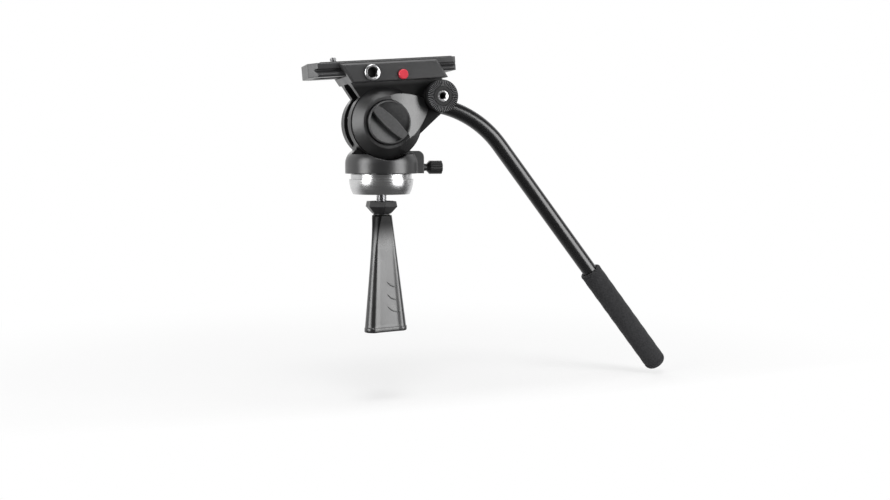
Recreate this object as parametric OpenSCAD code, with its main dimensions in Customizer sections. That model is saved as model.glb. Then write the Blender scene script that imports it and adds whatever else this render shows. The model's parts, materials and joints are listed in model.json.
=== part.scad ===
// Fluid video head: half-ball mount, pan base, tilt cradle, sliding camera plate and pan bar.
// Frame: origin at the centre of the half ball, +Z up, -X towards the lens, +X towards the operator.
// The tilt parts are drawn level about the tilt axis and turned to their resting tilt.

/* [Half ball] */
// Radius of the half ball
ball_r = 30; // [28:0.5:37.5]
// Depth of its flat underside below its centre
ball_drop = 14; // [11:0.5:17]
// Wall of its hollow underside
ball_wall = 4.5; // [3:0.5:7]
// Number of ribs in the hollow underside
ball_ribs = 6; // [3:1:8]
// Thickness of a rib
rib_t = 2.5; // [1.5:0.5:4]
// Radius of the polished neck
neck_r = 28.4; // [26.5:0.1:29]
// Height of the neck above the ball's centre
neck_h = 4.6; // [3.6:0.1:8]

/* [Tie-down] */
// Radius of the threaded tie stud
stud_r = 5; // [4:0.5:6]
// Length of the stud below the ball
stud_reach = 58; // [50:1:90]
// Gap for the bowl wall between ball and clamp cup
bowl_gap = 6.7; // [6:0.1:12]
// Circumradius of the hexagonal clamp cup at its widest
cup_r = 15.4; // [13:0.1:20]
// Circumradius of its top rim
cup_top_r = 14.4; // [12:0.1:18]
// Circumradius of its lower end
cup_low_r = 9.2; // [8.5:0.1:12]
// Height of the cup above its widest place
cup_rise = 5; // [3:0.1:8]
// Height of the cup below its widest place
cup_fall = 6.6; // [4:0.1:10]
// Depth of the hollow in the top of the cup
cup_hollow = 3; // [1:0.5:4]
// Thickness of the brass washer under the cup
washer_t = 1; // [0.5:0.25:2]
// Lobe radius at the top of the handle
handle_top_r = 9.6; // [9:0.1:14]
// Lobe radius at the end of the handle
handle_end_r = 23.3; // [16:0.1:30]
// Length of the handle
handle_len = 109; // [80:1:140]
// Turn of the handle's first lobe about the stud
handle_turn = 233; // [0:1:359]
// Depth of the hollow faces as a share of the lobe radius
face_dip = 0.47; // [0.2:0.01:0.6]
// Sharpness of the lobes: 1 is round
lobe_power = 1.7; // [1:0.1:3]
// Height of the lip round the handle's end
lip_h = 4.5; // [2:0.5:8]
// Length of the brass nut in the handle
nut_len = 14; // [8:1:20]

/* [Pan base] */
// Radius of the skirt
skirt_r = 33.6; // [32:0.1:40]
// Height of the skirt's upright wall
skirt_h = 9; // [8:0.1:12]
// Gap between the neck and the turning base
base_gap = 0.6; // [0.4:0.1:1.5]
// Height of the dome above the skirt
dome_h = 13; // [11:0.5:16]
// Height at which the dome's shoulders are cut flat beside the pillar
shoulder_z = 22.9; // [20:0.1:24]
// Reach of the rear boss from the pan axis
boss_reach = 39.6; // [37:0.1:46]
// Half width of the rear boss
boss_half = 7.2; // [6:0.1:7.4]
// Radius of the spindle's rotor disc
rotor_r = 23; // [20:0.5:26]
// Thickness of the rotor disc
rotor_t = 4; // [3:0.5:5]
// Radius of the spindle's neck
spindle_r = 16; // [13:0.5:18]
// Wall of the pan bush
pan_bush_t = 2; // [1:0.5:3]
// Thickness of the base cover
base_cover_t = 2.6; // [2:0.1:4]
// Thickness of the lower thrust washer
thrust_t = 0.7; // [0.5:0.1:1]
// Thickness of the drag disc
drag_t = 1; // [0.5:0.1:1.5]

/* [Pan lock] */
// Radius of the brake pad
pad_r = 2.7; // [2:0.1:3]
// Length of the brake pad
pad_len = 5; // [3:0.5:7]
// Radius of the lock screw
lock_screw_r = 2.5; // [2:0.25:3]
// Gap between the brake pad and the rotor when it is off
pad_gap = 0.7; // [0.5:0.1:1.2]
// Radius of the lock knob
lock_knob_r = 6.4; // [5:0.1:9]
// Length of the knob's head
lock_knob_len = 14.5; // [10:0.5:20]
// Number of flutes round the knob
lock_flutes = 8; // [5:1:14]

/* [Tilt] */
// Height of the tilt axis above the ball's centre
tilt_z = 51.5; // [50:0.1:60]
// Nose-down tilt in the resting pose
tilt_rest = 4.4; // [0:0.1:10]
// Radius of the round cheeks
cheek_r = 33.3; // [31:0.1:33.9]
// Inner face of a cheek from the middle plane
cheek_in = 8; // [7.8:0.1:10]
// Outer face of a cheek from the middle plane
cheek_out = 21; // [19:0.5:24]
// Half width of the pillar between the cheeks
pillar_half = 7; // [6.5:0.1:7.2]
// Radius of the pillar's round head
pillar_r = 29; // [25:0.5:31]
// Radius of the tilt shaft
shaft_r = 7; // [6:0.5:8]
// Wall of the tilt bushes
bush_t = 2; // [1:0.5:2.5]
// Radius of the drag chamber in the pillar
chamber_r = 18; // [15:0.5:20]
// Thickness of the chamber's near wall and of its cap
chamber_wall = 2.4; // [2:0.2:3]
// Thickness of a drag disc in the chamber
disc_t = 0.9; // [0.6:0.1:1]
// Number of drag discs of each kind
disc_count = 3; // [2:1:3]

/* [Side covers] */
// Outer face of the covers from the middle plane
cover_out = 29.6; // [27:0.1:32]
// Radius of the collar round the knob at its outer rim
collar_r = 23.4; // [22.4:0.1:26]
// Length of the teardrop from the tilt axis towards the rosette
tear_len = 45; // [42:0.5:48]
// Slope of the teardrop's face down to the rosette
tear_fall = 12.5; // [8:0.5:13]
// Width of the bevel on the cover's edges
cover_bevel = 1.2; // [0.5:0.1:2]

/* [Tilt knob] */
// Radius of the tilt knob
knob_r = 19.6; // [17:0.1:21]
// Gap between the knob and its collar
knob_gap = 1; // [0.4:0.1:1]
// Outer face of the knob from the middle plane
knob_out = 34; // [32:0.1:37]
// Width of its grip bar in the middle
grip_w = 11; // [8:0.1:13]
// Width of its grip bar at the rim
grip_end_w = 6.4; // [4:0.1:7.5]
// Height of the grip bar above the rim
grip_rise = 1.6; // [0.5:0.1:3]
// Depth of the scoops beside the grip bar
scoop_d = 4.6; // [2:0.1:6]
// Turn of the grip bar on the knob's face
grip_turn = -47; // [-90:1:90]
// Radius of the knob's lock screw
tilt_screw_r = 3; // [2.5:0.5:4]

/* [Rosettes] */
// Distance of the rosettes behind the tilt axis
rosette_x = 51.8; // [48:0.1:58]
// Height of the rosettes above the tilt axis
rosette_z = 20.6; // [18:0.1:26]
// Radius of a rosette
rosette_r = 14.9; // [13:0.1:16]
// Outer face of the teeth from the middle plane
rosette_out = 34; // [32.5:0.1:37]
// Thickness of a rosette
rosette_t = 5; // [4:0.1:6]
// Number of radial teeth
teeth = 48; // [24:4:60]
// Height of a tooth at the rim
tooth_h = 1.1; // [0.6:0.1:1.5]
// Inner radius of the teeth
teeth_in = 8.4; // [7:0.1:10]
// Outer radius of a threaded insert
insert_r = 5.4; // [4.5:0.1:6]
// Radius of the insert's threaded hole
insert_hole_r = 3; // [2.5:0.25:4]
// Depth of an insert
insert_len = 14; // [8:0.5:16]

/* [Platform] */
// Half width of the platform
deck_half = 30; // [29:0.5:34]
// Top of the platform above the tilt axis
deck_top = 54.5; // [53:0.1:57]
// Underside of the platform above the tilt axis
deck_low = 37.6; // [36:0.1:38]
// Rake of the platform's front and rear faces
deck_rake = 30; // [20:1:35]
// Front face, measured square to the rake
deck_front = -7.6; // [-12:0.1:-4]
// Rear face, measured square to the rake
deck_rear = 70.4; // [66:0.1:76]
// Bevel along the platform's edges
deck_bevel = 1.7; // [0.5:0.1:2.5]
// Half width of the opening under the platform's front
arch_half = 12; // [9:0.5:14]
// Depth of that opening behind the raked front face
arch_depth = 10; // [6:0.5:14]
// Distance of the accessory insert ahead of the tilt axis
acc_x = -11.8; // [-16:0.1:-4]
// Height of the accessory insert above the tilt axis
acc_z = 45.2; // [44.5:0.1:46]
// Radius of the accessory insert's flange
acc_flange_r = 7.2; // [6.5:0.1:7.4]
// Radius of its threaded hole
acc_hole_r = 4; // [3:0.1:4.8]
// Distance that its flange stands out
acc_stand = 2.6; // [1:0.1:4]
// Distance of the safety button behind the tilt axis
button_x = 16.6; // [12:0.1:24]
// Height of the safety button above the tilt axis
button_z = 42.2; // [42.1:0.1:43]
// Radius of the safety button
button_r = 4.4; // [3:0.1:4.5]
// Distance that the button stands out
button_stand = 2.8; // [2:0.1:4]
// Travel of the button
button_travel = 2.2; // [1:0.1:2.5]

/* [Camera plate] */
// Length of the plate
plate_len = 137; // [110:1:160]
// Distance of the plate's middle behind the tilt axis at rest
plate_rest = 1.5; // [-10:0.5:10]
// Width of the plate
plate_w = 47; // [44:0.5:48]
// Thickness of the plate
plate_t = 12.4; // [11.5:0.1:14]
// Underside of the plate above the tilt axis
plate_low = 44.2; // [44:0.1:46]
// Depth of the grooves along its sides
groove_d = 3; // [2:0.1:4]
// Thickness of its top flange
flange_t = 5.4; // [4:0.1:6]
// Corner cut of its front end in plan
nose_cut = 8; // [4:0.5:12]
// Corner cut of its rear end in plan
tail_cut = 2.5; // [1:0.5:6]
// Thickness of the rubber pads on its top
pad_t = 0.7; // [0.4:0.1:1.5]
// Distance of the camera screw behind the plate's front end
screw_back = 27; // [26:1:38]
// Rear end of the screw's slot behind the plate's front end
slot_end = 63; // [50:1:70]
// Front end of the screw's slot behind the plate's front end
slot_start = 15; // [14:1:20]
// Radius of the camera screw
cam_screw_r = 3.175; // [3.175, 4.7625]
// Distance that the camera screw stands out
cam_screw_stand = 5; // [4:0.5:8]
// Radius of the camera screw's head
cam_head_r = 8; // [7:0.5:9]
// Distance of the anti-twist pin behind the plate's middle
pin_x = 9.5; // [8:0.5:20]
// Radius of the anti-twist pin
pin_r = 2.4; // [1.5:0.1:2.8]
// Distance that the pin stands out
pin_stand = 1.6; // [1:0.1:3]

/* [Plate lock] */
// Length of the clamp jaw
jaw_len = 46; // [30:1:60]
// Travel of the jaw
jaw_travel = 0.8; // [0.4:0.1:0.9]
// Distance of the lever's hub ahead of the tilt axis
lever_x = -4; // [-12:0.5:4]
// Radius of the lever's hub
lever_hub_r = 8; // [6:0.5:10]
// Length of the lever's arm
lever_len = 33; // [20:1:40]
// Radius of the lever's screw
lever_screw_r = 3; // [2.5:0.5:3]

/* [Pan bar] */
// Radius of the bar's tube
tube_r = 8; // [6:0.1:9]
// Wall of the tube
tube_wall = 1.5; // [1:0.1:2.5]
// Plane of the bar's axis from the middle plane
bar_y = 46; // [45:0.5:50]
// Slope of the bar where it leaves the rosette, below level
bar_slope = 12; // [0:1:30]
// Straight length from the rosette's axis to the bend
bar_lead = 24; // [22:1:40]
// Angle of the bend
bar_bend = 40; // [10:1:60]
// Radius of the bend
bend_r = 106; // [80:1:160]
// Straight length beyond the bend
bar_run = 302; // [180:1:360]
// Radius of the foam grip
grip_r = 11.6; // [10.5:0.1:15]
// Length of the foam grip
grip_len = 134; // [100:1:160]
// Radius of the clamp's socket round the tube
socket_r = 10.4; // [9.5:0.1:11.5]
// Radius of the bar knob
bar_knob_r = 14; // [10:0.5:18]
// Length of the bar knob
bar_knob_len = 15; // [10:0.5:20]
// Number of lobes on the bar knob
bar_knob_lobes = 6; // [3:1:9]

/* [Hidden] */
$fn = 64;
eps = 0.01;
far_reach = 200;
// Clearances: a running fit, a snug seat and the gap between moving faces
run_fit = 0.05;
snug = 0.02;
seat = 0.3;
saddle_gap = 0.8;

// Heights of the tie-down
cup_top_z = -ball_drop - bowl_gap;
cup_wide_z = cup_top_z - cup_rise;
cup_low_z = cup_wide_z - cup_fall;
handle_top_z = cup_low_z - washer_t - seat;
handle_end_z = handle_top_z - handle_len;
stud_end_z = -ball_drop - stud_reach;
stud_head_h = 8;
handle_sides = 42;
handle_rings = 10;
lip_step = 0.7;
dip_len = 50;
round_top = 0.25;
nut_r = stud_r + 2.2;
cup_hollow_r = cup_top_r * 0.74;
washer_r = cup_low_r * 0.84;
spindle_screw_r = 2.5;
spindle_head_r = 1.8 * spindle_screw_r;
spindle_screw_ring = 11.5;

// Heights in the pan base
base_z = neck_h + base_gap;
skirt_top = base_z + skirt_h;
dome_top = skirt_top + dome_h;
dome_round = dome_h + 2;
base_cover_r = rotor_r + 5;
base_cover_top = base_z + base_cover_t;
rotor_low = base_cover_top + thrust_t + seat;
rotor_top = rotor_low + rotor_t;
drag_low = rotor_top + seat;
ceiling_z = drag_low + drag_t;
lock_z = (rotor_low + rotor_top) / 2;
chamber_gap = 0.8;
base_screw_r = 1.2;
base_screw_ring = rotor_r + 2.4;
pillar_foot = 18;
pillar_screw_r = 2;
pillar_screw_head_r = 3.4;
pillar_screw_head_h = 2.6;
pillar_screw_reach = 6;
pillar_screw_x = [-19, -9, 9, 19];
saddle_r = cheek_r + saddle_gap;
band_half = cheek_in - 2 * seat;
pad_start = rotor_r + pad_gap;
boss_round = 6;
lock_knob_x = boss_reach + pad_gap + seat;

// Depths across the tilt axis, from the middle plane outwards
pressure_t = 2;
pressure_r = 12;
cover_floor_t = 1.6;
tear_power = 0.8;
tear_turn = atan2(rosette_z, rosette_x);
tear_crease = 12;
tear_steps = 18;
tear_share = 0.995;
collar_step = 1;
cheek_step = 0.3;
arch_round = 5;
arch_step = 15;
arch_top = (deck_low - cheek_step - deck_front * sin(deck_rake)) / cos(deck_rake);
foot_z = cheek_r * 0.7;
arch_low = (foot_z - deck_front * sin(deck_rake)) / cos(deck_rake);
rear_step = 4;
web_top = [0.6, 0.5];
web_low = [0.25, -0.9];
web_root = [0.93, -0.365];
boss_step = 0.6;
hub_drop = 0.2;
insert_drop = 0.4;
acc_edge = 0.8;
cover_bite = 2.4;
knob_back = cheek_out + 2 * seat + pressure_t;
shaft_head_r = 11;
shaft_head_t = 4;
shaft_hole_len = 26;
tilt_screw_in = 22;
tilt_screw_out = 10;
boss_start = 12;
rosette_back = rosette_out - rosette_t;
insert_flange_t = 4;
rim_step = 0.5;
insert_shank_r = insert_r - 1;
acc_depth = 5.4;
cover_screw_r = 1.4;
cover_screw_head_r = 2.6;
cover_screw_spots = [[-27, 7], [-7, -27], [24, -13]];

// Sections of the plate and of its channel
half_w = plate_w / 2;
screw_x = screw_back - plate_len / 2;
slot_rear = slot_end - plate_len / 2;
slot_front = slot_start - plate_len / 2;
lip_z = 2.4;
edge_cut = 1.4;
top_cut = 0.8;
jaw_t = 3.2;
jaw_drop = 0.6;
lever_z = plate_low + 5.2;
lever_t = 7;
lever_tip_r = 5;
slot_r = cam_screw_r + 0.35;
recess_h = 7;
retainer_t = 1;
cam_neck_r = cam_screw_r - 0.35;
thread_gap = 0.1;
head_low = 1.6;
pin_flange_r = 3.8;
pin_flange_t = 1.2;
pin_roof = 3;
pin_floor = 1.2;
pad_w = 9;
pad_inset = 3;
button_stem_r = 1.2;
button_stem_len = 10;
button_skirt = 1.8;
spring_room = button_travel + 1.5;
button_low = deck_half - button_skirt;
wire_r = 0.3;
button_coil_gap = 1.2;
button_turns = 4;
pin_coil_gap = 0.4;
pin_turns = 5;
lever_sides = 32;
coil_sides = 6;
coil_steps = 10;

// The pan bar and its clamp
clamp_out = bar_y + socket_r;
clamp_hub_r = 11;
clamp_plate_t = 4;
socket_len = bar_lead - 1;
tube_start = 15;
grip_round = 5;
grip_skin = 3;
bend_step = 0.04;
bend_over = 1;
bend_sides = 360;
end_x = bar_lead + bend_r * sin(bar_bend);
end_z = -bend_r + bend_r * cos(bar_bend);

// Placing of the tilt parts and of shapes on a side
module tilt_frame() translate([0, 0, tilt_z]) rotate([0, -tilt_rest, 0]) children();
module near_side(y) translate([0, -y, 0]) rotate([90, 0, 0]) children();
module far_side(y) mirror([0, 1, 0]) near_side(y) children();
module both_sides(y) {
    near_side(y) children();
    far_side(y) children();
}
module along_x(x0, x1) translate([x0, 0, 0]) rotate([90, 0, 90]) linear_extrude(x1 - x0) children();
module at_rosette() translate([rosette_x, rosette_z, 0]) children();
module bar_frame() {
    tilt_frame() translate([rosette_x, bar_y, rosette_z])
        rotate([0, bar_slope + tilt_rest, 0]) children();
}

module ring(r_out, r_in, h) {
    difference() {
        cylinder(r = r_out, h = h);
        translate([0, 0, -eps]) cylinder(r = r_in, h = h + 2 * eps);
    }
}

module hex(r, h) cylinder(r = r, h = h, $fn = 6);

// Round knob outline with flutes cut into its edge
module fluted(r, count, flute_r, bite) {
    difference() {
        circle(r);
        for (i = [0 : count - 1])
            rotate(i * 360 / count) translate([r + flute_r - bite, 0]) circle(flute_r);
    }
}

// Solid through a stack of closed rings that all have the same number of points
module loft(rings) {
    n = len(rings[0]);
    m = len(rings);
    points = [for (ring_points = rings) for (p = ring_points) p];
    sides = [for (j = [0 : m - 2]) for (i = [0 : n - 1]) for (half = [0, 1])
        let (a = j * n + i, b = j * n + (i + 1) % n)
        half == 0 ? [a, a + n, b] : [b, a + n, b + n]];
    caps = [[for (i = [0 : n - 1]) i], [for (i = [n - 1 : -1 : 0]) (m - 1) * n + i]];
    polyhedron(points = points, faces = concat(sides, caps));
}

// Compression spring: one unbroken wire wound round the Z axis
module coil(r, h, turns) {
    steps = turns * coil_steps;
    loft([for (j = [0 : steps])
        let (a = j * 360 / coil_steps, z = wire_r + (h - 2 * wire_r) * j / steps)
        [for (i = [0 : coil_sides - 1])
            let (b = -i * 360 / coil_sides, d = r + wire_r * cos(b))
            [d * cos(a), d * sin(a), z + wire_r * sin(b)]]]);
}

// Flat ring with radial teeth on its face: root at 0, crests at tooth_h on the rim
module toothed_ring(r_out, r_in, back) {
    n = 2 * teeth;
    function rise(i, r) = i % 2 == 0 ? tooth_h * r / r_out : 0;
    function at(i, r, z) = [r * cos(i * 360 / n), r * sin(i * 360 / n), z];
    points = concat(
        [for (i = [0 : n - 1]) at(i, r_in, rise(i, r_in))],
        [for (i = [0 : n - 1]) at(i, r_out, rise(i, r_out))],
        [for (i = [0 : n - 1]) at(i, r_out, -back)],
        [for (i = [0 : n - 1]) at(i, r_in, -back)]);
    faces = [for (i = [0 : n - 1]) for (level = [0 : 3]) for (half = [0, 1])
        let (a = level * n + i, b = level * n + (i + 1) % n,
            c = ((level + 1) % 4) * n + i, d = ((level + 1) % 4) * n + (i + 1) % n)
        half == 0 ? [a, b, c] : [b, d, c]];
    polyhedron(points = points, faces = faces);
}

// Half ball, hollow from below, with a boss for the stud and ribs to the wall
module half_ball() color("silver") {
    difference() {
        union() {
            difference() {
                sphere(ball_r);
                translate([-far_reach / 2, -far_reach / 2, 0]) cube(far_reach);
                translate([-far_reach / 2, -far_reach / 2, -far_reach - ball_drop]) cube(far_reach);
                hollow_underside();
            }
            cylinder(r = neck_r, h = neck_h);
        }
        translate([0, 0, -ball_drop - eps]) cylinder(r = stud_r + snug, h = ball_drop + stud_head_h);
        screw_ring(spindle_screw_ring, 4) translate([0, 0, -ball_drop - eps]) {
            cylinder(r = spindle_screw_r + snug, h = ball_drop + neck_h + 1);
            cylinder(r = 2 * spindle_screw_r, h = ball_drop - ball_wall + 2 * eps);
        }
    }
}
module hollow_underside() {
    boss_r = spindle_screw_ring + 2 * spindle_screw_r + 1;
    wall_r = sqrt(pow(ball_r, 2) - pow(ball_drop, 2)) - ball_wall;
    translate([0, 0, -ball_drop - eps]) difference() {
        ring(wall_r, boss_r, ball_drop - ball_wall);
        for (i = [0 : ball_ribs - 1])
            rotate(i * 360 / ball_ribs) translate([0, -rib_t / 2, -eps]) cube([ball_r, rib_t, ball_drop]);
    }
}
module screw_ring(r, count) {
    for (i = [0 : count - 1]) rotate(45 + i * 360 / count) translate([r, 0, 0]) children();
}

module tie_stud() color("dimgray")
    translate([0, 0, stud_end_z]) cylinder(r = stud_r, h = -stud_end_z + neck_h);

// Fixed spindle on the half ball, with the rotor disc that the pan drag and the brake act on
module pan_spindle() color("gainsboro") {
    difference() {
        union() {
            translate([0, 0, neck_h]) cylinder(r = spindle_r, h = rotor_low - neck_h + eps);
            translate([0, 0, rotor_low]) cylinder(r = rotor_r, h = rotor_t);
        }
        screw_ring(spindle_screw_ring, 4) translate([0, 0, neck_h - eps])
            cylinder(r = spindle_screw_r + snug, h = rotor_low - neck_h + rotor_t - 1);
    }
}
module spindle_screws() color("gray") {
    screw_ring(spindle_screw_ring, 4) translate([0, 0, -ball_wall]) {
        cylinder(r = spindle_screw_r, h = ball_wall + rotor_low + rotor_t - 2);
        translate([0, 0, -spindle_screw_r]) difference() {
            cylinder(r = spindle_head_r, h = spindle_screw_r);
            translate([0, 0, -eps]) hex(spindle_screw_r, spindle_screw_r / 2);
        }
    }
}

// Hexagonal cup that is drawn up against the underside of the bowl
function hex_ring(r, z) = [for (i = [0 : 5]) [r * cos(60 * i + 30), r * sin(60 * i + 30), z]];
module clamp_cup() color("dimgray") {
    difference() {
        loft([hex_ring(cup_low_r, cup_low_z), hex_ring(cup_r, cup_wide_z), hex_ring(cup_top_r, cup_top_z)]);
        translate([0, 0, cup_low_z - eps]) cylinder(r = stud_r + run_fit, h = cup_rise + cup_fall + 1);
        translate([0, 0, cup_top_z - cup_hollow]) cylinder(r = cup_hollow_r, h = cup_hollow + eps);
    }
}
module clamp_washer() color("goldenrod")
    translate([0, 0, cup_low_z - washer_t]) ring(washer_r, stud_r + seat, washer_t);

// Three-lobed handle that widens downwards, with hollow faces and a lip round its end
function dip(z) = face_dip * min(1, round_top + (handle_top_z - z) / dip_len);
function lobe(a, z) = 1 - dip(z) * (1 - pow((1 + cos(3 * a)) / 2, lobe_power));
function handle_ring(r, z) = [for (i = [0 : handle_sides - 1])
    let (a = -i * 360 / handle_sides, d = r * lobe(a, z))
    [d * cos(a + handle_turn), d * sin(a + handle_turn), z]];
function handle_r(t) = handle_top_r + (handle_end_r - lip_step - handle_top_r) * t;
module tie_down_handle() color("dimgray") {
    shaft_h = handle_len - lip_h;
    difference() {
        loft(concat(
            [for (j = [0 : handle_rings])
                handle_ring(handle_r(j / handle_rings), handle_top_z - shaft_h * j / handle_rings)],
            [handle_ring(handle_end_r, handle_end_z + lip_h - lip_step),
             handle_ring(handle_end_r, handle_end_z + lip_step),
             handle_ring(handle_end_r - lip_step, handle_end_z)]));
        translate([0, 0, handle_top_z - nut_len]) cylinder(r = nut_r + snug, h = nut_len + eps);
        translate([0, 0, stud_end_z - stud_head_h])
            cylinder(r = stud_r + seat, h = handle_top_z - stud_end_z + stud_head_h);
    }
}
module handle_nut() color("goldenrod")
    translate([0, 0, handle_top_z - nut_len]) ring(nut_r, stud_r + run_fit, nut_len);

// Turning base: skirt and dome, saddles for the cheeks, middle band for the pillar, rear boss
module dome_section() {
    intersection() {
        translate([0, base_z]) square([skirt_r, skirt_h + dome_h]);
        union() {
            translate([0, base_z]) square([skirt_r, skirt_h]);
            square([skirt_r - dome_round, dome_top]);
            translate([skirt_r - dome_round, skirt_top]) circle(dome_round);
        }
    }
}
module rear_boss() {
    boss_top = dome_top - 1;
    translate([0, boss_half, 0]) rotate([90, 0, 0]) linear_extrude(2 * boss_half) {
        translate([0, base_z]) square([boss_reach, boss_top - boss_round - base_z]);
        square([boss_reach - boss_round, boss_top]);
        translate([boss_reach - boss_round, boss_top - boss_round]) circle(boss_round);
    }
}
module pan_housing() color("dimgray") {
    difference() {
        union() {
            rotate_extrude() dome_section();
            intersection() {
                rear_boss();
                translate([0, -far_reach / 2, base_z]) cube(far_reach);
            }
        }
        both_sides(band_half) {
            translate([0, tilt_z, 0]) cylinder(r = saddle_r, h = far_reach);
            translate([-far_reach / 2, shoulder_z, 0]) cube(far_reach);
        }
        translate([0, 0, base_z - eps]) cylinder(r = base_cover_r + snug, h = base_cover_t + eps);
        translate([0, 0, base_z]) cylinder(r = rotor_r + chamber_gap, h = ceiling_z - base_z);
        screw_ring(base_screw_ring, 4)
            translate([0, 0, base_z]) cylinder(r = base_screw_r + snug, h = ceiling_z - base_z - 1);
        translate([0, 0, lock_z]) rotate([0, 90, 0]) {
            cylinder(r = pad_r + run_fit, h = pad_start + pad_len + 1);
            cylinder(r = lock_screw_r + run_fit, h = far_reach);
        }
        pillar_bolts(snug);
    }
}
module base_cover() color("darkgray") {
    difference() {
        translate([0, 0, base_z]) ring(base_cover_r, spindle_r + pan_bush_t + snug, base_cover_t);
        screw_ring(base_screw_ring, 4) translate([0, 0, base_z - eps]) {
            cylinder(r = base_screw_r + snug, h = base_cover_t + 1);
            cylinder(r = 2 * base_screw_r + snug, h = base_screw_r + eps);
        }
    }
}
module base_screws() color("gray") {
    screw_ring(base_screw_ring, 4) translate([0, 0, base_z]) {
        cylinder(r = 2 * base_screw_r, h = base_screw_r);
        cylinder(r = base_screw_r, h = ceiling_z - base_z - 2);
    }
}
module pan_bush() color("peru")
    translate([0, 0, base_z]) ring(spindle_r + pan_bush_t, spindle_r + run_fit, base_cover_t);
module thrust_washer() color("ivory")
    translate([0, 0, base_cover_top]) ring(rotor_r, spindle_r + seat, thrust_t);
module drag_disc() color("ivory") translate([0, 0, drag_low]) cylinder(r = rotor_r, h = drag_t);

// Upright between the cheeks, with the sealed chamber of drag discs round the tilt shaft
module pillar_bolts(gap) {
    for (x = pillar_screw_x) translate([x, 0, ceiling_z]) {
        translate([0, 0, -gap]) cylinder(r = pillar_screw_head_r + gap, h = pillar_screw_head_h + gap);
        cylinder(r = pillar_screw_r + gap, h = dome_top - ceiling_z + pillar_screw_reach + gap);
    }
}
module pillar_outline() {
    foot_half = skirt_r - dome_round + sqrt(pow(dome_round, 2) - pow(dome_h, 2)) - 1;
    foot_top = tilt_z - pillar_foot;
    intersection() {
        union() {
            translate([0, tilt_z]) circle(pillar_r);
            polygon([[-foot_half, 0], [foot_half, 0], [foot_half, foot_top], [-foot_half, foot_top]]);
        }
        translate([-far_reach / 2, dome_top]) square(far_reach);
    }
}
module tilt_pillar() color("black") {
    difference() {
        near_side(-pillar_half) linear_extrude(2 * pillar_half) pillar_outline();
        far_side(chamber_wall - pillar_half) translate([0, tilt_z, 0]) cylinder(r = chamber_r, h = far_reach);
        near_side(-far_reach / 2) translate([0, tilt_z, 0])
            cylinder(r = shaft_r + bush_t + snug, h = far_reach);
        pillar_bolts(snug);
    }
}
module pillar_screws() color("gray") pillar_bolts(0);
module pillar_cap() color("darkgray")
    far_side(pillar_half - chamber_wall) translate([0, tilt_z, 0])
        ring(chamber_r - snug, shaft_r + bush_t + snug, chamber_wall);
module tilt_bushes() color("peru")
    both_sides(pillar_half - chamber_wall) translate([0, tilt_z, 0])
        ring(shaft_r + bush_t, shaft_r + run_fit, chamber_wall);
module side_washers() color("ivory")
    both_sides(pillar_half) translate([0, tilt_z, 0])
        ring(chamber_r, shaft_r + seat, cheek_in - pillar_half - seat);

// Interleaved drag discs: even places turn with the shaft, odd ones stay with the pillar
module disc_place(i) {
    room = 2 * (pillar_half - chamber_wall);
    gap = (room - 2 * disc_count * disc_t) / (2 * disc_count + 1);
    far_side(-room / 2 + gap + i * (disc_t + gap)) translate([0, tilt_z, 0]) children();
}
module stator_discs() color("tan")
    for (i = [0 : disc_count - 1]) disc_place(2 * i + 1) ring(chamber_r - snug, shaft_r + 1, disc_t);
module rotor_discs() color("gainsboro")
    for (i = [0 : disc_count - 1]) disc_place(2 * i) ring(chamber_r - 1, shaft_r + snug, disc_t);

module brake_pad() color("saddlebrown")
    translate([pad_start, 0, lock_z]) rotate([0, 90, 0]) cylinder(r = pad_r, h = pad_len);
module pan_lock_screw() color("silver")
    translate([pad_start + pad_len + seat, 0, lock_z]) rotate([0, 90, 0])
        cylinder(r = lock_screw_r, h = lock_knob_x + lock_knob_len / 2 - pad_start - pad_len - seat);
module pan_lock_knob() color("black") {
    neck = 3.4;
    neck_wall = 1.2;
    waist_wall = 0.8;
    flute_r = 1.6;
    bite = 0.55;
    cone_h = 3;
    translate([lock_knob_x, 0, lock_z]) rotate([0, 90, 0]) difference() {
        union() {
            cylinder(r1 = lock_screw_r + neck_wall, r2 = lock_screw_r + waist_wall, h = neck);
            translate([0, 0, neck]) cylinder(r1 = lock_screw_r + waist_wall, r2 = lock_knob_r, h = cone_h);
            translate([0, 0, neck + cone_h]) linear_extrude(lock_knob_len - cone_h)
                fluted(lock_knob_r, lock_flutes, flute_r, bite);
        }
        translate([0, 0, -eps]) cylinder(r = lock_screw_r + snug, h = lock_knob_len / 2 + eps);
    }
}

// Section of the plate and of the rails: half outlines from the middle plane, widened by a gap
function plate_edge() = [
    [half_w - edge_cut, 0], [half_w, edge_cut], [half_w, lip_z], [half_w - groove_d, lip_z + groove_d],
    [half_w - groove_d, plate_t - flange_t], [half_w, plate_t - flange_t],
    [half_w, plate_t - top_cut], [half_w - top_cut, plate_t]];
function rail_edge(gap) = [
    [half_w + gap, lip_z + gap], [half_w - groove_d + gap, lip_z + groove_d + gap],
    [half_w - groove_d + gap, plate_t - flange_t - gap], [half_w + gap, plate_t - flange_t - gap]];
module plate_section() {
    edge = plate_edge();
    left = [for (i = [len(edge) - 1 : -1 : 0]) [-edge[i][0], edge[i][1]]];
    translate([0, plate_low]) polygon(concat(edge, left));
}
module channel_section() {
    difference() {
        translate([-half_w - seat, plate_low - seat]) square([plate_w + 2 * seat, far_reach]);
        translate([0, plate_low]) mirror([1, 0]) polygon(rail_edge(seat));
    }
}

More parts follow.
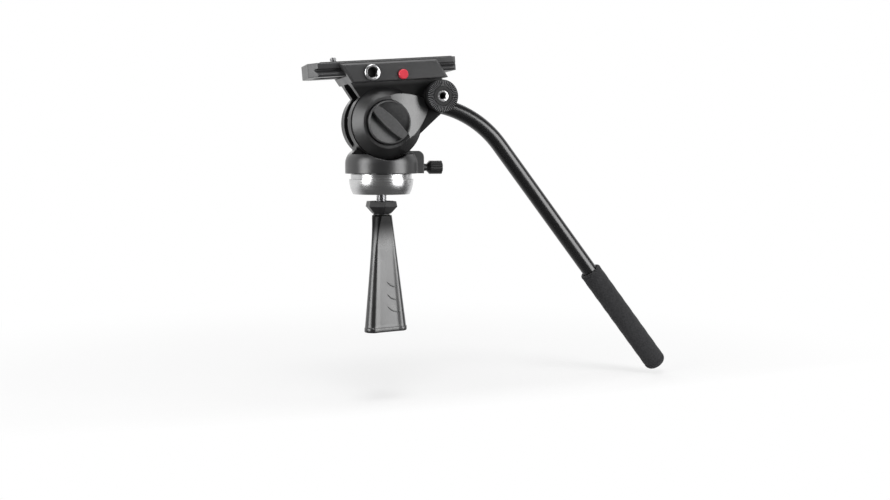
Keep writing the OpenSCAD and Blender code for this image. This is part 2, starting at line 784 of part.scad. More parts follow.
// Platform with bevelled edges: a section along X cut by a raked block in plan
module deck_section() {
    difference() {
        polygon([[-deck_half, deck_low], [deck_half, deck_low],
            [deck_half, deck_top - deck_bevel], [deck_half - deck_bevel, deck_top],
            [-deck_half + deck_bevel, deck_top], [-deck_half, deck_top - deck_bevel]]);
        channel_section();
    }
}
module deck_plan() {
    inner = deck_half - deck_bevel;
    polygon([[deck_front + deck_bevel, -deck_half], [deck_rear - deck_bevel, -deck_half],
        [deck_rear, -inner], [deck_rear, inner], [deck_rear - deck_bevel, deck_half],
        [deck_front + deck_bevel, deck_half], [deck_front, inner], [deck_front, -inner]]);
}
module platform() {
    intersection() {
        along_x(-far_reach / 2, far_reach / 2) deck_section();
        rotate([0, -deck_rake, 0]) translate([0, 0, -far_reach / 2]) linear_extrude(far_reach) deck_plan();
    }
}

// Outline of a cheek: round body, raked front, web to the rosette boss
function on_rake(x, z) = (x - z * sin(deck_rake)) / cos(deck_rake);
module cheek_outline() {
    front_low = on_rake(deck_front, deck_low) + cheek_step;
    rear_low = on_rake(deck_rear, deck_low) - rear_step;
    front_foot = on_rake(deck_front, foot_z) + cheek_step;
    boss = [rosette_x, rosette_z];
    circle(cheek_r);
    polygon([[front_low, deck_low + eps], [rear_low, deck_low + eps],
        boss + rosette_r * web_top, boss + rosette_r * web_low, cheek_r * web_root,
        [0, 0], [front_foot, foot_z]]);
}
module cheeks() {
    both_sides(cheek_in) {
        linear_extrude(cheek_out - cheek_in) cheek_outline();
        at_rosette() translate([0, 0, boss_start - cheek_in])
            cylinder(r = rosette_r - boss_step, h = rosette_back - boss_start);
    }
}
// Opening under the platform's front: the slot between the cheeks widens to a tunnel with round upper corners
module front_arch() {
    flat = arch_half - arch_round;
    spring_line = arch_top - arch_round;
    corners = [for (a = [0 : arch_step : 180])
        [(a <= 90 ? flat : -flat) + arch_round * cos(a), spring_line + arch_round * sin(a)]];
    rotate([0, -deck_rake, 0]) along_x(deck_front - arch_depth, deck_front + arch_depth)
        polygon(concat([[-arch_half, arch_low], [arch_half, arch_low]], corners));
}
module tilt_cradle() color("dimgray") tilt_frame() {
    difference() {
        union() {
            platform();
            cheeks();
        }
        near_side(-far_reach / 2) cylinder(r = shaft_r + snug, h = far_reach);
        far_side(cheek_out - shaft_head_t) cylinder(r = shaft_head_r + snug, h = far_reach);
        both_sides(rosette_out - insert_len) at_rosette()
            cylinder(r = insert_shank_r + snug, h = far_reach);
        both_sides(cheek_in - eps) cover_bolts(snug);
        near_side(deck_half - acc_depth) translate([acc_x, acc_z, 0])
            cylinder(r = acc_flange_r - 1 + snug, h = far_reach);
        near_side(button_low - spring_room) translate([button_x, button_z, 0])
            cylinder(r = button_r + run_fit, h = far_reach);
        near_side(button_low - button_stem_len - button_travel - seat) translate([button_x, button_z, 0])
            cylinder(r = button_stem_r + run_fit, h = far_reach);
        front_arch();
        jaw_pocket();
        far_side(0) translate([lever_x, lever_z, 0]) cylinder(r = lever_screw_r + run_fit, h = far_reach);
    }
}

// Cover: collar round the knob and a teardrop that runs out to the rosette
function tear_half(x) = collar_r * pow(1 - pow(x / tear_len, 2), tear_power);
function tear_side(side, share) = [for (i = [0 : tear_steps])
    let (x = tear_len * (side > 0 ? tear_steps - i : i) / tear_steps * tear_share)
    [x * share, side * tear_half(x) * share]];
function tear_ring(inset, z) = let (share = 1 - inset / collar_r)
    [for (p = concat(tear_side(-1, share), tear_side(1, share)))
        [p[0] * cos(tear_turn) - p[1] * sin(tear_turn), p[0] * sin(tear_turn) + p[1] * cos(tear_turn), z]];
module teardrop(h) {
    r = collar_r + rim_step;
    rotate_extrude()
        polygon([[0, 0], [r, 0], [r, h - cover_bevel], [r - cover_bevel, h], [0, h]]);
    loft([tear_ring(0, 0), tear_ring(0, h - cover_bevel), tear_ring(cover_bevel, h)]);
}
module side_cover() {
    h = cover_out - cheek_out;
    collar_low = 0.8;
    difference() {
        union() {
            cylinder(r = cheek_r - 1, h = collar_low);
            translate([0, 0, collar_low]) cylinder(r1 = cheek_r - 1, r2 = collar_r, h = h - collar_low);
            teardrop(h - collar_step);
        }
        translate([0, 0, cover_floor_t]) cylinder(r = knob_r + knob_gap, h = far_reach);
        translate([0, 0, -eps]) cylinder(r = pressure_r + seat, h = far_reach);
        rotate(tear_turn) translate([tear_crease, -far_reach / 2, h - collar_step])
            rotate([0, tear_fall, 0]) cube(far_reach);
        at_rosette() translate([0, 0, -eps]) cylinder(r = rosette_r, h = far_reach);
        translate([0, 0, cheek_in - cheek_out]) cover_bolts(snug);
    }
}
module near_cover() color("dimgray") tilt_frame() near_side(cheek_out) side_cover();
module far_cover() color("dimgray") tilt_frame() far_side(cheek_out) side_cover();
module cover_bolts(gap) {
    for (spot = cover_screw_spots) translate(spot) {
        cylinder(r = cover_screw_head_r + gap, h = 2 * cover_screw_r + gap);
        cylinder(r = cover_screw_r + gap, h = cheek_out - cheek_in + cover_bite + gap);
    }
}
module cover_screws() color("gray") tilt_frame() both_sides(cheek_in) cover_bolts(0);

module rosette() {
    root = rosette_t - tooth_h;
    difference() {
        union() {
            translate([0, 0, root]) toothed_ring(rosette_r - rim_step, teeth_in - rim_step, 1);
            cylinder(r = rosette_r, h = root - rim_step);
            cylinder(r = teeth_in, h = rosette_t - hub_drop);
        }
        translate([0, 0, -eps]) cylinder(r = insert_shank_r + snug, h = far_reach);
        translate([0, 0, rosette_t - insert_flange_t]) cylinder(r = insert_r + snug, h = far_reach);
    }
}
module near_rosette() color("black") tilt_frame() near_side(rosette_back) at_rosette() rosette();
module far_rosette() color("black") tilt_frame() far_side(rosette_back) at_rosette() rosette();
module threaded_insert() {
    difference() {
        union() {
            cylinder(r = insert_shank_r, h = insert_len - insert_drop);
            translate([0, 0, insert_len - insert_flange_t])
                cylinder(r = insert_r, h = insert_flange_t - insert_drop);
        }
        translate([0, 0, -eps]) cylinder(r = insert_hole_r, h = far_reach);
    }
}
module rosette_inserts() color("silver") tilt_frame()
    both_sides(rosette_out - insert_len) at_rosette() threaded_insert();

module accessory_insert() color("silver") tilt_frame()
    near_side(deck_half - acc_depth) translate([acc_x, acc_z, 0]) difference() {
        union() {
            cylinder(r = acc_flange_r - 1, h = acc_depth);
            translate([0, 0, acc_depth]) cylinder(r = acc_flange_r, h = acc_stand - acc_edge);
            translate([0, 0, acc_depth + acc_stand - acc_edge])
                cylinder(r1 = acc_flange_r, r2 = acc_flange_r - acc_edge, h = acc_edge);
        }
        translate([0, 0, -eps]) cylinder(r = acc_hole_r, h = far_reach);
    }

// Shaft through both cheeks, with a head in the far one and a threaded hole from the near end
module tilt_shaft() color("gainsboro") tilt_frame() {
    near_end = cheek_out - 1;
    difference() {
        union() {
            far_side(-near_end) cylinder(r = shaft_r, h = near_end + cheek_out);
            far_side(cheek_out - shaft_head_t) cylinder(r = shaft_head_r, h = shaft_head_t);
        }
        far_side(-near_end - eps) cylinder(r = tilt_screw_r + run_fit, h = shaft_hole_len);
    }
}
module shaft_cap() color("black") tilt_frame() far_side(cheek_out + cover_floor_t) {
    rise = cover_out - cheek_out - cover_floor_t;
    dish = 1.5;
    cylinder(r = knob_r, h = rise - dish);
    translate([0, 0, rise - dish]) cylinder(r1 = knob_r, r2 = knob_r - dish, h = dish);
}

module pressure_ring() color("peru") tilt_frame()
    near_side(cheek_out + seat) ring(pressure_r, tilt_screw_r + run_fit, pressure_t);
module tilt_lock_screw() color("silver") tilt_frame()
    near_side(cheek_out - tilt_screw_in) cylinder(r = tilt_screw_r, h = tilt_screw_in + tilt_screw_out);

// Knob with a raised grip bar; the face falls away from the rim to the foot of the bar
module tilt_knob() color("black") tilt_frame() near_side(knob_back) {
    rim = knob_out - knob_back;
    rim_w = 1.2;
    rim_cut = 0.8;
    face_r = knob_r - rim_w;
    difference() {
        union() {
            cylinder(r = knob_r, h = rim - rim_cut);
            translate([0, 0, rim - rim_cut]) cylinder(r1 = knob_r, r2 = knob_r - rim_cut, h = rim_cut);
            rotate(grip_turn) linear_extrude(rim + grip_rise) intersection() {
                circle(face_r);
                grip_outline();
            }
        }
        for (side = [0, 180]) rotate(grip_turn + side) scoop(rim, face_r);
        translate([0, 0, -eps])
            cylinder(r = tilt_screw_r + snug, h = cheek_out + tilt_screw_out - knob_back + eps);
    }
}
module scoop(rim, face_r) {
    foot = grip_end_w / 2;
    fall = atan2(scoop_d, face_r - foot);
    difference() {
        intersection() {
            cylinder(r = face_r, h = 2 * rim);
            translate([-knob_r, foot, rim - scoop_d]) rotate([fall, 0, 0])
                cube([2 * knob_r, 2 * knob_r, 2 * rim]);
        }
        linear_extrude(3 * rim) grip_outline();
    }
}
// Outline of the grip bar: two arcs that leave it widest in the middle
module grip_outline() {
    bow = (grip_w - grip_end_w) / 2;
    arc_r = (knob_r * knob_r + bow * bow) / (2 * bow);
    intersection() {
        translate([0, arc_r - grip_w / 2]) circle(arc_r);
        translate([0, grip_w / 2 - arc_r]) circle(arc_r);
    }
}

// Jaw and lever that clamp the plate from the far side
module jaw_pocket() {
    gap = jaw_travel + seat;
    translate([lever_x - jaw_len / 2 - seat, 0, plate_low - seat])
        cube([jaw_len + 2 * seat, half_w + jaw_t + gap, far_reach]);
}
module plate_jaw() color("silver") tilt_frame() {
    jaw_h = deck_top - plate_low - jaw_drop;
    difference() {
        along_x(lever_x - jaw_len / 2, lever_x + jaw_len / 2) translate([0, plate_low])
            polygon(concat([[half_w + jaw_t, 0], [half_w + seat, 0]], rail_edge(seat),
                [[half_w + seat, jaw_h], [half_w + jaw_t, jaw_h]]));
        far_side(half_w + 1) translate([lever_x, lever_z, 0])
            cylinder(r = lever_screw_r + run_fit, h = far_reach);
    }
}
module plate_lock_screw() color("silver") tilt_frame()
    far_side(half_w + 1 + seat) translate([lever_x, lever_z, 0])
        cylinder(r = lever_screw_r, h = deck_half - half_w + lever_t / 2);
module plate_lock_lever() color("black") tilt_frame()
    far_side(deck_half + seat) translate([lever_x, lever_z, 0]) difference() {
        arm_low = lever_t * 0.3;
        tip_t = lever_t * 0.6;
        edge = 1.5;
        union() {
            cylinder(r = lever_hub_r, h = lever_t);
            translate([0, 0, lever_t]) cylinder(r1 = lever_hub_r, r2 = lever_hub_r - edge, h = edge);
            hull() {
                translate([0, 0, arm_low])
                    cylinder(r = lever_hub_r - edge, h = lever_t - arm_low, $fn = lever_sides);
                translate([lever_len, 0, lever_t - tip_t])
                    cylinder(r = lever_tip_r, h = tip_t, $fn = lever_sides);
            }
        }
        translate([0, 0, -eps]) cylinder(r = lever_screw_r + snug, h = lever_t / 2 + 1 + eps);
    }

module safety_button() color("crimson") tilt_frame()
    near_side(button_low) translate([button_x, button_z, 0]) {
        dome = 0.6;
        head = button_skirt + button_stand;
        cylinder(r = button_r, h = head - dome);
        translate([0, 0, head - dome]) cylinder(r1 = button_r, r2 = button_r - dome, h = dome);
        translate([0, 0, -button_stem_len]) cylinder(r = button_stem_r, h = button_stem_len + eps);
    }
module button_spring() color("silver") tilt_frame()
    near_side(button_low - spring_room) translate([button_x, button_z, 0])
        coil(button_stem_r + button_coil_gap, spring_room, button_turns);

// Sliding camera plate: grooved sides, cut corners, slot for the camera screw, bore for the pin
module plate_plan() {
    front = -plate_len / 2;
    rear = plate_len / 2;
    polygon([[front + nose_cut, -half_w], [rear - tail_cut, -half_w], [rear, -half_w + tail_cut],
        [rear, half_w - tail_cut], [rear - tail_cut, half_w], [front + nose_cut, half_w],
        [front, half_w - nose_cut], [front, -half_w + nose_cut]]);
}
module slot(x0, x1, r, h) {
    translate([x0, 0, 0]) cylinder(r = r, h = h);
    translate([x1, 0, 0]) cylinder(r = r, h = h);
    translate([x0, -r, 0]) cube([x1 - x0, 2 * r, h]);
}
module plate_frame() tilt_frame() translate([plate_rest, 0, plate_low]) children();
module camera_plate() color("dimgray") {
    difference() {
        tilt_frame() translate([plate_rest, 0, 0]) intersection() {
            along_x(-plate_len / 2, plate_len / 2) plate_section();
            linear_extrude(far_reach) plate_plan();
        }
        plate_frame() {
            translate([0, 0, -eps]) slot(slot_front, slot_rear, slot_r, far_reach);
            translate([0, 0, -eps]) slot(slot_front, slot_rear, cam_head_r + seat, recess_h + eps);
            translate([pin_x, 0, pin_floor]) cylinder(r = pin_r + run_fit, h = far_reach);
            translate([pin_x, 0, pin_floor])
                cylinder(r = pin_flange_r + seat, h = plate_t - pin_roof - pin_floor);
        }
    }
}
module plate_pads() color("black") plate_frame() translate([0, 0, plate_t]) {
    reach = plate_len / 2 - pad_inset;
    for (side = [-1, 1])
        translate([-reach + nose_cut, side * (half_w - pad_inset - pad_w / 2) - pad_w / 2, 0])
            cube([2 * reach - nose_cut, pad_w, pad_t]);
}
module screw_retainer() color("gray") plate_frame()
    translate([screw_x, 0, recess_h - retainer_t - seat]) ring(cam_head_r, cam_neck_r + run_fit, retainer_t);
module camera_screw() color("silver") plate_frame() translate([screw_x, 0, 0]) {
    head_top = recess_h - retainer_t - 2 * seat;
    tip_cut = 0.7;
    top = plate_t + cam_screw_stand;
    difference() {
        union() {
            translate([0, 0, head_low]) cylinder(r = cam_head_r, h = head_top - head_low);
            cylinder_between(cam_neck_r, head_top - eps, plate_t + thread_gap);
            cylinder_between(cam_screw_r, plate_t + thread_gap, top - tip_cut);
            translate([0, 0, top - tip_cut])
                cylinder(r1 = cam_screw_r, r2 = cam_screw_r - tip_cut, h = tip_cut);
        }
        translate([-cam_head_r, -1, head_low - eps]) cube([2 * cam_head_r, 2, 2]);
    }
}
module cylinder_between(r, z0, z1) translate([0, 0, z0]) cylinder(r = r, h = z1 - z0);
module anti_twist_pin() color("silver") plate_frame() translate([pin_x, 0, 0]) {
    flange_low = plate_t - pin_roof - pin_flange_t - seat;
    tip_cut = 0.5;
    top = plate_t + pin_stand;
    cylinder_between(pin_r, flange_low, top - tip_cut);
    cylinder_between(pin_flange_r, flange_low, flange_low + pin_flange_t);
    translate([0, 0, top - tip_cut]) cylinder(r1 = pin_r, r2 = pin_r - tip_cut, h = tip_cut);
}
module pin_spring() color("silver") plate_frame() translate([pin_x, 0, pin_floor])
    coil(pin_r + pin_coil_gap, plate_t - pin_roof - pin_flange_t - seat - pin_floor, pin_turns);

// Pan bar: straight from the clamp, one bend downwards, then straight to the grip
module bar_end() translate([end_x, 0, end_z]) rotate([0, 90 + bar_bend, 0]) children();
module bar_tube() color("black") bar_frame() difference() {
    bar_path(tube_r, bend_step);
    bar_path(tube_r - tube_wall, bend_step);
}
module bar_path(r, step) {
    translate([tube_start, 0, 0]) rotate([0, 90, 0]) cylinder(r = r, h = bar_lead - tube_start);
    bar_end() cylinder(r = r, h = bar_run - grip_skin);
    translate([bar_lead, 0, -bend_r]) rotate([90, 0, 0]) rotate(90 - bar_bend - bend_over)
        rotate_extrude(angle = bar_bend + 2 * bend_over, $fn = bend_sides)
            translate([bend_r, 0]) circle(r - step, $fn = 64);
}
module bar_clamp() color("black") tilt_frame() difference() {
    union() {
        far_side(rosette_out + seat) at_rosette() {
            mirror([0, 0, 1]) translate([0, 0, -tooth_h])
                toothed_ring(rosette_r - rim_step, teeth_in, 1 + rim_step);
            translate([0, 0, tooth_h + rim_step]) cylinder(r = rosette_r, h = clamp_plate_t);
            translate([0, 0, tooth_h + 1])
                cylinder(r = clamp_hub_r, h = clamp_out - rosette_out - seat - tooth_h - 1);
        }
        translate([rosette_x, bar_y, rosette_z]) rotate([0, 90 + bar_slope + tilt_rest, 0])
            cylinder(r = socket_r, h = socket_len);
    }
    far_side(0) at_rosette() cylinder(r = insert_hole_r + seat, h = far_reach);
    translate([rosette_x, bar_y, rosette_z]) rotate([0, 90 + bar_slope + tilt_rest, 0])
        translate([0, 0, tube_start]) cylinder(r = tube_r + snug, h = far_reach);
}
module foam_grip() color("darkslategray") bar_frame() bar_end() translate([0, 0, bar_run - grip_len])
    difference() {
        rotate_extrude() {
            square([grip_r - grip_round, grip_len]);
            translate([0, 1]) square([grip_r, grip_len - grip_round - 1]);
            translate([grip_r - grip_round, grip_len - grip_round]) intersection() {
                circle(grip_round);
                square(grip_round);
            }
        }
        translate([0, 0, -eps]) cylinder(r = tube_r + seat, h = grip_len - grip_skin + seat);
    }
module bar_knob() color("black") tilt_frame() far_side(clamp_out + seat) at_rosette() difference() {
    stem_r = clamp_hub_r * 0.7;
    stem_h = 2.5;
    flute_r = 4;
    bite = 1.6;
    union() {
        cylinder(r = stem_r, h = stem_h + rim_step);
        translate([0, 0, stem_h]) linear_extrude(bar_knob_len - stem_h)
            fluted(bar_knob_r, bar_knob_lobes, flute_r, bite);
    }
    translate([0, 0, -eps]) cylinder(r = insert_hole_r - run_fit + snug, h = bar_knob_len / 2);
}
module bar_screw() color("silver") tilt_frame() far_side(rosette_out - insert_len + 2) at_rosette()
    cylinder(r = insert_hole_r - run_fit, h = clamp_out + bar_knob_len / 2 - rosette_out + insert_len - 2);

half_ball();
tie_stud();
pan_spindle();
spindle_screws();
clamp_cup();
clamp_washer();
tie_down_handle();
handle_nut();
pan_housing();
base_cover();
base_screws();
pan_bush();
thrust_washer();
drag_disc();
tilt_pillar();
pillar_screws();
pillar_cap();
tilt_bushes();
side_washers();
stator_discs();
brake_pad();
pan_lock_knob();
pan_lock_screw();
tilt_cradle();
near_cover();
far_cover();
cover_screws();
near_rosette();
far_rosette();
rosette_inserts();
accessory_insert();
tilt_shaft();
shaft_cap();
rotor_discs();
pressure_ring();
tilt_knob();
tilt_lock_screw();
plate_jaw();
plate_lock_lever();
plate_lock_screw();
safety_button();
button_spring();
camera_plate();
plate_pads();
screw_retainer();
camera_screw();
anti_twist_pin();
pin_spring();
bar_tube();
bar_clamp();
foam_grip();
bar_knob();
bar_screw();
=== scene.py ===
import json
from math import cos, exp, pi, radians, sin
import bpy
import bmesh
from mathutils import Matrix, Vector


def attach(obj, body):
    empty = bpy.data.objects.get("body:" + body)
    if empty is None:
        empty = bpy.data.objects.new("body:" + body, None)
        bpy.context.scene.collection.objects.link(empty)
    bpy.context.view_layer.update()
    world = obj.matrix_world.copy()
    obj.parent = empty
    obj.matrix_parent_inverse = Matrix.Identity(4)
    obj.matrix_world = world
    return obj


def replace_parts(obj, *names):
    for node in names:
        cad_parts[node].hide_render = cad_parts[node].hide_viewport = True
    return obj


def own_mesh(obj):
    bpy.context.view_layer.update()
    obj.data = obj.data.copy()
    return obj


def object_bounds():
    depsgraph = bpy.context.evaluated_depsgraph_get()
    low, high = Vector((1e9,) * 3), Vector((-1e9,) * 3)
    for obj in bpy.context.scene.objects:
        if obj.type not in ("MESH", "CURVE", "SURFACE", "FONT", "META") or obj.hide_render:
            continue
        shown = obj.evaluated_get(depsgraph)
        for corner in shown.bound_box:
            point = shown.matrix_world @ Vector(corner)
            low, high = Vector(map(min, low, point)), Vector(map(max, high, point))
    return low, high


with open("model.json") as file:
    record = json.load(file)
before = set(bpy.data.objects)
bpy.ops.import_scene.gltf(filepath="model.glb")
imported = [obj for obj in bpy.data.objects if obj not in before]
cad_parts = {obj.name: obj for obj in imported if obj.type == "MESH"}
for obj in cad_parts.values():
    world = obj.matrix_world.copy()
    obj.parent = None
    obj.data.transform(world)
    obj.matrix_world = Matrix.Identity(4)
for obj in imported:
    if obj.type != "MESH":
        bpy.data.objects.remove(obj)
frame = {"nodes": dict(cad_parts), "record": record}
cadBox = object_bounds()
nodes = frame["nodes"]
print("frame loaded:", len(nodes), "nodes")

# Pieces are laid out in millimetres; the frame, the finishes and the studio are in metres
millimetre = 0.001
up = Vector((0, 0, 1))
white = (1, 1, 1, 1)

# Resting tilt: the upper works are laid out level about the tilt axis, then turned to it
tilt = {"height": 0.0515, "rest": radians(4.4)}
tiltMatrix = Matrix.Translation(tilt["height"] * up) @ Matrix.Rotation(-tilt["rest"], 4, "Y")
tiltUp = tiltMatrix.to_3x3() @ up

# Axis of the two rosettes, from the tilt axis
rosette = {"x": 51.8, "z": 20.6}


# Tools for the node trees
def nodeMaterial(name):
    material = bpy.data.materials.new(name)
    material.use_nodes = True
    tree = material.node_tree
    tree.nodes.clear()
    output = tree.nodes.new("ShaderNodeOutputMaterial")
    shader = tree.nodes.new("ShaderNodeBsdfPrincipled")
    tree.links.new(shader.outputs["BSDF"], output.inputs["Surface"])
    return material, tree, shader


def objectPlace(tree):
    return tree.nodes.new("ShaderNodeTexCoord").outputs["Object"]


def split(tree, vector):
    parts = tree.nodes.new("ShaderNodeSeparateXYZ")
    tree.links.new(vector, parts.inputs["Vector"])
    return parts.outputs


def mathNode(tree, operation, *values):
    node = tree.nodes.new("ShaderNodeMath")
    node.operation = operation
    for socket, value in zip(node.inputs, values):
        if isinstance(value, bpy.types.NodeSocket):
            tree.links.new(value, socket)
        else:
            socket.default_value = value
    return node.outputs["Value"]


def vectorNode(tree, operation, vector):
    node = tree.nodes.new("ShaderNodeVectorMath")
    node.operation = operation
    tree.links.new(vector, node.inputs[0])
    return node


def times(tree, first, second):
    return mathNode(tree, "MULTIPLY", first, second)


def added(tree, first, second):
    total = mathNode(tree, "ADD", first, second)
    total.node.use_clamp = True
    return total


def remapped(tree, value, span, result, curve):
    remap = tree.nodes.new("ShaderNodeMapRange")
    remap.interpolation_type = curve
    remap.inputs["From Min"].default_value = span[0]
    remap.inputs["From Max"].default_value = span[1]
    remap.inputs["To Min"].default_value = result[0]
    remap.inputs["To Max"].default_value = result[1]
    tree.links.new(value, remap.inputs["Value"])
    return remap.outputs["Result"]


def ramped(tree, value, low, high, start=0):
    return remapped(tree, value, (low, high), (start, 1), "SMOOTHSTEP")


# How the noise of every surface is drawn, and the band that most of its values lie in
mottle = {"band": (0.3, 0.7), "roughness": 0.6, "driftDetail": 3, "wearDetail": 4, "wearScale": 3.1,
          "grainDetail": 2}


def objectNoise(tree, scale, detail, stretch=(1, 1, 1)):
    mapping = tree.nodes.new("ShaderNodeMapping")
    mapping.inputs["Scale"].default_value = stretch
    noise = tree.nodes.new("ShaderNodeTexNoise")
    noise.inputs["Scale"].default_value = scale
    noise.inputs["Detail"].default_value = detail
    noise.inputs["Roughness"].default_value = mottle["roughness"]
    tree.links.new(objectPlace(tree), mapping.inputs["Vector"])
    tree.links.new(mapping.outputs["Vector"], noise.inputs["Vector"])
    return noise.outputs["Fac"]


def blendTints(tree, value, dark, light):
    ramp = tree.nodes.new("ShaderNodeValToRGB")
    for element, position, tint in zip(ramp.color_ramp.elements, mottle["band"], (dark, light)):
        element.position = position
        element.color = (*tint, 1)
    tree.links.new(value, ramp.inputs["Fac"])
    return ramp.outputs["Color"]


# Painted shade: a darker tint and a duller gloss on one side of a level, standing in for the shadow below
# the platform's overhang and at the top of the tie-down handle
def paintedShadeSide(tree, shader, tint, shade):
    level = vectorNode(tree, "DOT_PRODUCT", objectPlace(tree))
    level.inputs[1].default_value = tiltUp
    height = level.outputs["Value"]
    darker = vectorNode(tree, "SCALE", tint)
    tree.links.new(ramped(tree, height, *shade["between"], shade["tint"]), darker.inputs["Scale"])
    gloss = shader.inputs["Specular IOR Level"]
    duller = ramped(tree, height, *shade["between"], shade["shine"])
    tree.links.new(times(tree, duller, gloss.default_value), gloss)
    return darker.outputs["Vector"]


# Smoother skin on the middle of a long face, fading to the plain one at both ends
def polishedBetween(tree, rough, polish):
    along = split(tree, objectPlace(tree))["X"]
    window = times(tree, ramped(tree, along, *polish["rise"]), ramped(tree, along, *polish["fall"]))
    return mathNode(tree, "MULTIPLY_ADD", window, -polish["less"], rough)


# What a look has where it says nothing else
plainLook = {"specular": 0.5, "metal": 0, "coat": 0, "coatRough": 0.1, "sheen": 0, "stretch": (1, 1, 1),
             "edge": 0.0004, "edgeSamples": 4, "depth": 0.0001}


# One surface: tints that drift over the piece, a roughness with its own drift, a fine grain and soft edges
def surface(name, ownLook):
    look = {**plainLook, **ownLook}
    material, tree, shader = nodeMaterial(name)
    shader.inputs["Specular IOR Level"].default_value = look["specular"]
    shader.inputs["Metallic"].default_value = look["metal"]
    shader.inputs["Coat Weight"].default_value = look["coat"]
    shader.inputs["Coat Roughness"].default_value = look["coatRough"]
    shader.inputs["Sheen Weight"].default_value = look["sheen"]
    drift = objectNoise(tree, look["drift"], mottle["driftDetail"], look["stretch"])
    tint = blendTints(tree, drift, look["dark"], look["light"])
    # Where a look lists painted shade, its tint is darkened and its gloss dulled on one side of a level
    if "shade" in look:
        tint = paintedShadeSide(tree, shader, tint, look["shade"])
    tree.links.new(tint, shader.inputs["Base Color"])
    wear = objectNoise(tree, look["drift"] * mottle["wearScale"], mottle["wearDetail"], look["stretch"])
    rough = remapped(tree, wear, mottle["band"], look["rough"], "LINEAR")
    if "polish" in look:
        rough = polishedBetween(tree, rough, look["polish"])
    tree.links.new(rough, shader.inputs["Roughness"])
    edge = tree.nodes.new("ShaderNodeBevel")
    edge.samples = look["edgeSamples"]
    edge.inputs["Radius"].default_value = look["edge"]
    bump = tree.nodes.new("ShaderNodeBump")
    bump.inputs["Strength"].default_value = look["bump"]
    bump.inputs["Distance"].default_value = look["depth"]
    grain = objectNoise(tree, look["grain"], mottle["grainDetail"], look["stretch"])
    tree.links.new(grain, bump.inputs["Height"])
    tree.links.new(edge.outputs["Normal"], bump.inputs["Normal"])
    tree.links.new(bump.outputs["Normal"], shader.inputs["Normal"])
    return material


# Looks of the record's material slots
slotLooks = {
    # black_casting carries painted shade: darker and duller below the platform's underside, where the
    # overhang would shade the cheeks
    "black_casting": {"dark": (0.028, 0.028, 0.029), "light": (0.04, 0.04, 0.041), "drift": 18,
                      "rough": (0.33, 0.42), "grain": 2600, "bump": 0.3, "specular": 0.65, "edge": 0.0012,
                      "shade": {"between": (0.084, 0.089), "tint": 0.22, "shine": 0.3}},
    "grey_casting": {"dark": (0.014, 0.014, 0.0145), "light": (0.021, 0.021, 0.0217), "drift": 16,
                     "rough": (0.3, 0.38), "grain": 2400, "bump": 0.25, "specular": 0.85, "edge": 0.001},
    "bright_alloy": {"dark": (0.5, 0.5, 0.51), "light": (0.62, 0.62, 0.62), "drift": 40,
                     "rough": (0.22, 0.32), "grain": 900, "bump": 0.08, "metal": 1,
                     "stretch": (0.15, 0.15, 3)},
    "black_plastic": {"dark": (0.012, 0.012, 0.0125), "light": (0.019, 0.019, 0.0195), "drift": 25,
                      "rough": (0.36, 0.46), "grain": 3200, "bump": 0.35, "edge": 0.0006},
    "grey_plastic": {"dark": (0.01, 0.01, 0.0105), "light": (0.017, 0.017, 0.018), "drift": 20,
                     "rough": (0.32, 0.4), "grain": 3000, "bump": 0.3, "specular": 0.9, "edge": 0.001},
    "red_plastic": {"dark": (0.56, 0.025, 0.045), "light": (0.66, 0.035, 0.06), "drift": 90,
                    "rough": (0.3, 0.42), "grain": 2500, "bump": 0.15, "coat": 0.15},
    "white_plastic": {"dark": (0.74, 0.72, 0.67), "light": (0.83, 0.82, 0.79), "drift": 60,
                      "rough": (0.4, 0.55), "grain": 1500, "bump": 0.2},
    "chrome": {"dark": (0.62, 0.62, 0.63), "light": (0.74, 0.74, 0.75), "drift": 80,
               "rough": (0.24, 0.34), "grain": 1200, "bump": 0.05, "metal": 1, "edge": 0.0002},
    "steel": {"dark": (0.42, 0.42, 0.43), "light": (0.58, 0.58, 0.59), "drift": 60,
              "rough": (0.24, 0.38), "grain": 1400, "bump": 0.2, "metal": 1, "edge": 0.0002},
    "brass": {"dark": (0.55, 0.38, 0.13), "light": (0.72, 0.54, 0.23), "drift": 70,
              "rough": (0.22, 0.36), "grain": 1400, "bump": 0.15, "metal": 1, "edge": 0.0002},
    "black_tube": {"dark": (0.004, 0.004, 0.0045), "light": (0.008, 0.008, 0.0085), "drift": 12,
                   "rough": (0.24, 0.3), "grain": 1800, "bump": 0.02, "specular": 0.8},
    "foam": {"dark": (0.014, 0.014, 0.015), "light": (0.034, 0.034, 0.036), "drift": 700,
             "rough": (0.82, 0.95), "grain": 1500, "bump": 0.5, "depth": 0.0003, "sheen": 0.1,
             "specular": 0.2},
    "black_rubber": {"dark": (0.012, 0.012, 0.012), "light": (0.022, 0.022, 0.022), "drift": 60,
                     "rough": (0.7, 0.85), "grain": 1300, "bump": 0.6, "depth": 0.0002, "specular": 0.3},
}

